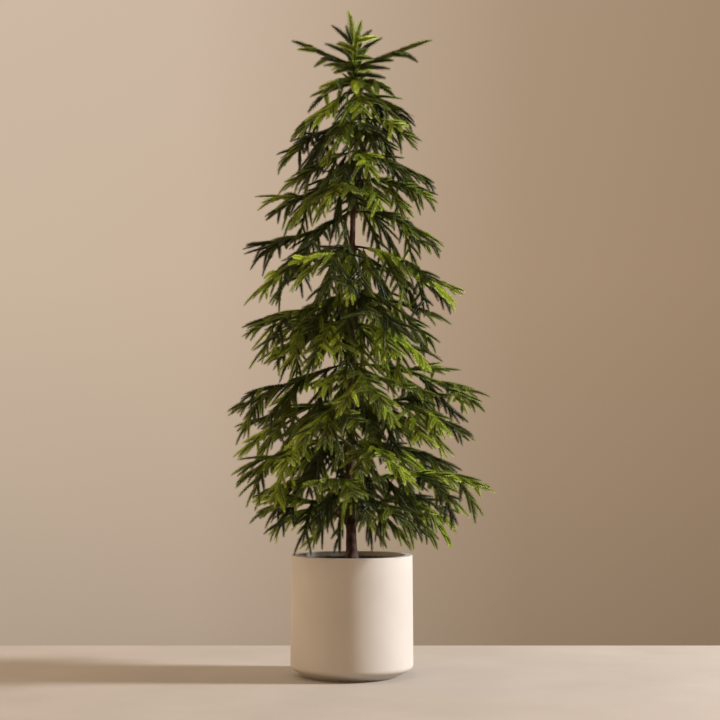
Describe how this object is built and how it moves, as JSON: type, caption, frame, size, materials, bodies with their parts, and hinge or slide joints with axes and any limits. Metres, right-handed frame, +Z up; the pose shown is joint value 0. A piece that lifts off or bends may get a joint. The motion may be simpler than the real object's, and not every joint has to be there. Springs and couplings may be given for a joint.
{
  "type": "potted artificial norfolk island pine",
  "caption": "Artificial Norfolk Island pine with a slender trunk, tiered drooping boughs and a pointed leader, in a plain round pale planter.",
  "frame": {"origin": "middle of the planter's flat underside", "axes": "+Z up along the trunk, +X to the viewer's right in the picture, -Y towards the viewer"},
  "size_m": [0.7214, 0.6697, 1.822],
  "materials": {
    "planter": "smooth matte, warm off-white",
    "filling": "rough dark moss over a firm block",
    "bark": "knobbly matte bark, reddish brown",
    "needles": "soft satin olive-green needles"
  },
  "bodies": {
    "root": {"pot": "planter", "pot_fill": "filling", "trunk": "bark", "foliage_leader": "needles", "foliage_2_1": "needles", "foliage_2_2": "needles", "foliage_2_3": "needles", "foliage_2_4": "needles", "foliage_3_1": "needles", "foliage_3_2": "needles", "foliage_3_3": "needles", "foliage_3_4": "needles", "foliage_4_1": "needles", "foliage_4_2": "needles", "foliage_4_3": "needles", "foliage_4_4": "needles", "foliage_5_1": "needles", "foliage_5_2": "needles", "foliage_5_3": "needles", "foliage_5_4": "needles", "foliage_6_1": "needles", "foliage_6_2": "needles", "foliage_7_1": "needles", "foliage_7_2": "needles", "foliage_7_3": "needles", "foliage_7_4": "needles", "foliage_8_1": "needles", "foliage_8_2": "needles", "foliage_8_3": "needles", "foliage_8_4": "needles", "foliage_9_1": "needles", "foliage_9_2": "needles", "foliage_9_3": "needles", "foliage_9_4": "needles", "foliage_10_1": "needles", "foliage_10_2": "needles", "foliage_10_3": "needles", "foliage_10_4": "needles", "foliage_11_1": "needles", "foliage_11_2": "needles", "foliage_11_3": "needles", "foliage_11_4": "needles", "foliage_12_1": "needles", "foliage_12_2": "needles", "foliage_12_3": "needles", "foliage_12_4": "needles", "foliage_13_1": "needles", "foliage_13_2": "needles", "foliage_13_3": "needles", "foliage_13_4": "needles", "bough_14_1": "bark", "foliage_14_1": "needles", "bough_14_2": "bark", "foliage_14_2": "needles", "bough_14_3": "bark", "foliage_14_3": "needles", "bough_14_4": "bark", "foliage_14_4": "needles"}
  },
  "joints": []
}
